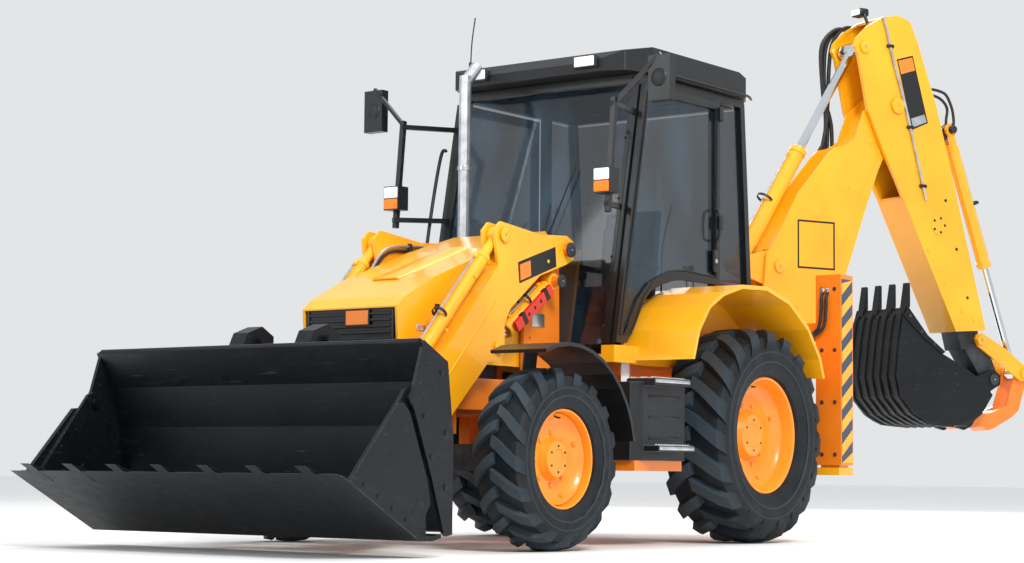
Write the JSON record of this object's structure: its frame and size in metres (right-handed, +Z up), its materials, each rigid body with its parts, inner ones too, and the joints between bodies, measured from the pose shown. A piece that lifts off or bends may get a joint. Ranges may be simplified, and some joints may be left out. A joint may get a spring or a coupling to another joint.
{
  "type": "backhoe loader",
  "caption": "Wheeled loader with a clam shovel on front lift arms, a glazed cab and a side-shifting backhoe with an extending dipper.",
  "frame": {"origin": "on the ground, at the centre of the box around the whole machine as parked", "axes": "+Z up, -Y forward, +X to the machine's left"},
  "size_m": [2.35, 8.113, 3.83],
  "materials": {
    "yellow_paint": "satin",
    "orange_paint": "satin",
    "chrome_rod": "polished",
    "bucket_steel": "worn",
    "black_paint": "satin",
    "black_plastic": "matt",
    "seat_cloth": "woven",
    "cast_grey": "rough",
    "grey_steel": "greased",
    "tyre_rubber": "matt",
    "cab_glass": "clear"
  },
  "bodies": {
    "chassis": {"main_frame": "orange_paint", "front_axle": "cast_grey", "rear_axle": "cast_grey", "engine_block": "cast_grey", "front_grille": "black_paint", "exhaust_stack": "grey_steel", "fuel_tank": "black_plastic", "hydraulic_tank": "black_plastic", "cab_base": "yellow_paint", "cab_frame": "black_paint", "cab_roof": "black_plastic", "windscreen": "cab_glass", "rear_window": "cab_glass", "quarter_window_left": "cab_glass", "quarter_window_right": "cab_glass", "steering_console": "black_plastic", "seat_base": "black_plastic"},
    "bonnet": {"bonnet": "yellow_paint"},
    "door_left": {"door_left": "black_paint", "door_glass_left": "cab_glass"},
    "door_right": {"door_right": "black_paint", "door_glass_right": "cab_glass"},
    "seat": {"seat": "seat_cloth"},
    "knuckle_left": {"steering_knuckle_left": "black_paint"},
    "knuckle_right": {"steering_knuckle_right": "black_paint"},
    "front_wheel_left": {"front_rim_left": "orange_paint", "front_tyre_left": "tyre_rubber"},
    "front_wheel_right": {"front_rim_right": "orange_paint", "front_tyre_right": "tyre_rubber"},
    "rear_wheel_left": {"rear_rim_left": "orange_paint", "rear_tyre_left": "tyre_rubber"},
    "rear_wheel_right": {"rear_rim_right": "orange_paint", "rear_tyre_right": "tyre_rubber"},
    "stabiliser_left": {"stabiliser_leg_left": "yellow_paint"},
    "stabiliser_right": {"stabiliser_leg_right": "yellow_paint"},
    "loader_arms": {"loader_arms": "yellow_paint"},
    "shovel": {"shovel_mouldboard": "bucket_steel"},
    "clam": {"shovel_clam": "bucket_steel"},
    "carriage": {"sideshift_carriage": "orange_paint"},
    "kingpost": {"kingpost": "yellow_paint"},
    "boom": {"boom": "yellow_paint"},
    "dipper": {"dipper": "yellow_paint"},
    "extension": {"dipper_extension": "grey_steel"},
    "lever": {"tipping_lever": "yellow_paint"},
    "link": {"tipping_link": "orange_paint"},
    "bucket": {"digger_bucket": "bucket_steel"},
    "lift_barrel_left": {"lift_ram_barrel_left": "yellow_paint"},
    "lift_rod_left": {"lift_ram_rod_left": "chrome_rod"},
    "tilt_barrel_left": {"tilt_ram_barrel_left": "yellow_paint"},
    "tilt_rod_left": {"tilt_ram_rod_left": "chrome_rod"},
    "lift_barrel_right": {"lift_ram_barrel_right": "yellow_paint"},
    "lift_rod_right": {"lift_ram_rod_right": "chrome_rod"},
    "tilt_barrel_right": {"tilt_ram_barrel_right": "yellow_paint"},
    "tilt_rod_right": {"tilt_ram_rod_right": "chrome_rod"},
    "boom_barrel": {"boom_ram_barrel": "yellow_paint"},
    "boom_rod": {"boom_ram_rod": "chrome_rod"},
    "dipper_barrel": {"dipper_ram_barrel": "yellow_paint"},
    "dipper_rod": {"dipper_ram_rod": "chrome_rod"},
    "bucket_barrel": {"bucket_ram_barrel": "yellow_paint"},
    "bucket_rod": {"bucket_ram_rod": "chrome_rod"}
  },
  "joints": [
    {"name": "steer_left", "type": "hinge", "parent": "chassis", "child": "knuckle_left", "pos_m": [0.72, -2.05, 0.5], "axis": [0, 0, 1], "range_deg": [-32, 32]},
    {"name": "front_wheel_spin_left", "type": "hinge", "parent": "knuckle_left", "child": "front_wheel_left", "pos_m": [0.96, -2.05, 0.5], "axis": [1, 0, 0], "continuous": true},
    {"name": "rear_wheel_spin_left", "type": "hinge", "parent": "chassis", "child": "rear_wheel_left", "pos_m": [0.9, 0.12, 0.67], "axis": [1, 0, 0], "continuous": true},
    {"name": "steer_right", "type": "hinge", "parent": "chassis", "child": "knuckle_right", "pos_m": [-0.72, -2.05, 0.5], "axis": [0, 0, 1], "range_deg": [-32.1, 32.1]},
    {"name": "front_wheel_spin_right", "type": "hinge", "parent": "knuckle_right", "child": "front_wheel_right", "pos_m": [-0.96, -2.05, 0.5], "axis": [1, 0, 0], "continuous": true},
    {"name": "rear_wheel_spin_right", "type": "hinge", "parent": "chassis", "child": "rear_wheel_right", "pos_m": [-0.9, 0.12, 0.67], "axis": [1, 0, 0], "continuous": true},
    {"name": "lift", "type": "hinge", "parent": "chassis", "child": "loader_arms", "pos_m": [0, -1.235, 1.742], "axis": [-1, 0, 0], "range_deg": [-1, 83]},
    {"name": "shovel_tilt", "type": "hinge", "parent": "loader_arms", "child": "shovel", "pos_m": [0, -3.08, 0.165], "axis": [1, 0, 0], "range_deg": [0, 135]},
    {"name": "clam_open", "type": "hinge", "parent": "shovel", "child": "clam", "pos_m": [0, -3.44, 0.785], "axis": [-1, 0, 0], "range_deg": [0, 70]},
    {"name": "lift_barrel_turn_left", "type": "hinge", "parent": "chassis", "child": "lift_barrel_left", "pos_m": [0.451, -1.325, 1.55], "axis": [-1, 0, 0], "range_deg": [-1.2, 91]},
    {"name": "lift_rod_out_left", "type": "slide", "parent": "lift_barrel_left", "child": "lift_rod_left", "axis": [0, -0.8075, -0.5898], "range_m": [-0.004, 0.255]},
    {"name": "tilt_barrel_turn_left", "type": "hinge", "parent": "loader_arms", "child": "tilt_barrel_left", "pos_m": [0.451, -1.855, 1.775], "axis": [1, 0, 0], "range_deg": [-4.1, 0.1]},
    {"name": "tilt_rod_out_left", "type": "slide", "parent": "tilt_barrel_left", "child": "tilt_rod_left", "axis": [0, -0.6855, -0.728], "range_m": [-0.001, 0.92]},
    {"name": "lift_barrel_turn_right", "type": "hinge", "parent": "chassis", "child": "lift_barrel_right", "pos_m": [-0.451, -1.325, 1.55], "axis": [-1, 0, 0], "range_deg": [-1.2, 91]},
    {"name": "lift_rod_out_right", "type": "slide", "parent": "lift_barrel_right", "child": "lift_rod_right", "axis": [0, -0.8075, -0.5898], "range_m": [-0.004, 0.255]},
    {"name": "tilt_barrel_turn_right", "type": "hinge", "parent": "loader_arms", "child": "tilt_barrel_right", "pos_m": [-0.451, -1.855, 1.775], "axis": [1, 0, 0], "range_deg": [-4.1, 0.1]},
    {"name": "tilt_rod_out_right", "type": "slide", "parent": "tilt_barrel_right", "child": "tilt_rod_right", "axis": [0, -0.6855, -0.728], "range_m": [-0.001, 0.92]},
    {"name": "bonnet_lift", "type": "hinge", "parent": "chassis", "child": "bonnet", "pos_m": [0, -1.195, 1.8], "axis": [-1, 0, 0], "range_deg": [0, 45]},
    {"name": "door_left_swing", "type": "hinge", "parent": "chassis", "child": "door_left", "pos_m": [0.748, 0.138, 2], "axis": [0, 0, 1], "range_deg": [0, 85]},
    {"name": "door_right_swing", "type": "hinge", "parent": "chassis", "child": "door_right", "pos_m": [-0.748, 0.138, 2], "axis": [0, 0, -1], "range_deg": [0, 85]},
    {"name": "seat_swivel", "type": "hinge", "parent": "chassis", "child": "seat", "pos_m": [0, -0.1, 1.5], "axis": [0, 0, 1], "range_deg": [0, 180]},
    {"name": "stabiliser_down_left", "type": "slide", "parent": "chassis", "child": "stabiliser_left", "axis": [0, 0, -1], "range_m": [0, 0.58]},
    {"name": "stabiliser_down_right", "type": "slide", "parent": "chassis", "child": "stabiliser_right", "axis": [0, 0, -1], "range_m": [0, 0.58]},
    {"name": "sideshift", "type": "slide", "parent": "chassis", "child": "carriage", "axis": [1, 0, 0], "range_m": [-0.55, 0.55]},
    {"name": "slew", "type": "hinge", "parent": "carriage", "child": "kingpost", "pos_m": [0, 1.48, 0.9], "axis": [0, 0, 1], "range_deg": [-68, 112]},
    {"name": "boom_lift", "type": "hinge", "parent": "kingpost", "child": "boom", "pos_m": [0.11238, 1.75815, 0.78], "axis": [0.9272, -0.3746, 0], "range_deg": [-100, 8]},
    {"name": "dipper_swing", "type": "hinge", "parent": "boom", "child": "dipper", "pos_m": [0.52445, 2.77806, 3.15], "axis": [0.9272, -0.3746, 0], "range_deg": [-15, 85]},
    {"name": "dipper_extend", "type": "slide", "parent": "dipper", "child": "extension", "axis": [0.1015, 0.2513, -0.9626], "range_m": [0, 1.1]},
    {"name": "bucket_swing", "type": "hinge", "parent": "extension", "child": "bucket", "pos_m": [0.88407, 3.66815, 1.155], "axis": [0.9272, -0.3746, 0], "range_deg": [0, 156]},
    {"name": "boom_barrel_turn", "type": "hinge", "parent": "kingpost", "child": "boom_barrel", "pos_m": [0.07305, 1.6608, 0.96], "axis": [0.9272, -0.3746, 0], "range_deg": [-103, 8.5]},
    {"name": "boom_rod_out", "type": "slide", "parent": "boom_barrel", "child": "boom_rod", "axis": [0.0552, 0.1366, 0.9891], "range_m": [-0.026, 0.316]},
    {"name": "dipper_barrel_turn", "type": "hinge", "parent": "boom", "child": "dipper_barrel", "pos_m": [0.01498, 1.51709, 1.9], "axis": [0.9272, -0.3746, 0], "range_deg": [-7, 1.3]},
    {"name": "dipper_rod_out", "type": "slide", "parent": "dipper_barrel", "child": "dipper_rod", "axis": [0.2008, 0.4971, 0.8441], "range_m": [-0.655, 0.117]},
    {"name": "lever_turn", "type": "hinge", "parent": "extension", "child": "lever", "pos_m": [0.83725, 3.55226, 1.45], "axis": [0.9272, -0.3746, 0], "range_deg": [0, 92]},
    {"name": "link_turn", "type": "hinge", "parent": "bucket", "child": "link", "pos_m": [0.77169, 3.39, 0.835], "axis": [0.9272, -0.3746, 0], "range_deg": [-63, 0]},
    {"name": "bucket_barrel_turn", "type": "hinge", "parent": "extension", "child": "bucket_barrel", "pos_m": [0.7567, 3.35291, 3.04], "axis": [0.9272, -0.3746, 0], "range_deg": [-0.1, 2.8]},
    {"name": "bucket_rod_out", "type": "slide", "parent": "bucket_barrel", "child": "bucket_rod", "axis": [0.1269, 0.3141, -0.9409], "range_m": [-0.7, 0.001]}
  ],
  "couplings": [
    {"joint": "steer_right", "follows": "steer_left", "ratio": 1},
    {"joint": "lift_barrel_turn_left", "follows": "lift", "ratio": 1.095},
    {"joint": "lift_rod_out_left", "follows": "lift", "m_per_rad": 0.175},
    {"joint": "tilt_barrel_turn_left", "follows": "shovel_tilt", "ratio": -0.03},
    {"joint": "tilt_rod_out_left", "follows": "shovel_tilt", "m_per_rad": 0.39},
    {"joint": "lift_barrel_turn_right", "follows": "lift", "ratio": 1.095},
    {"joint": "lift_rod_out_right", "follows": "lift", "m_per_rad": 0.175},
    {"joint": "tilt_barrel_turn_right", "follows": "shovel_tilt", "ratio": -0.03},
    {"joint": "tilt_rod_out_right", "follows": "shovel_tilt", "m_per_rad": 0.39},
    {"joint": "boom_barrel_turn", "follows": "boom_lift", "ratio": 1.025},
    {"joint": "boom_rod_out", "follows": "boom_lift", "m_per_rad": -0.18},
    {"joint": "dipper_barrel_turn", "follows": "dipper_swing", "ratio": -0.08},
    {"joint": "dipper_rod_out", "follows": "dipper_swing", "m_per_rad": -0.44},
    {"joint": "lever_turn", "follows": "bucket_swing", "ratio": 0.586},
    {"joint": "link_turn", "follows": "bucket_swing", "ratio": -0.399},
    {"joint": "bucket_barrel_turn", "follows": "bucket_swing", "ratio": 0.017},
    {"joint": "bucket_rod_out", "follows": "bucket_swing", "m_per_rad": -0.254}
  ]
}
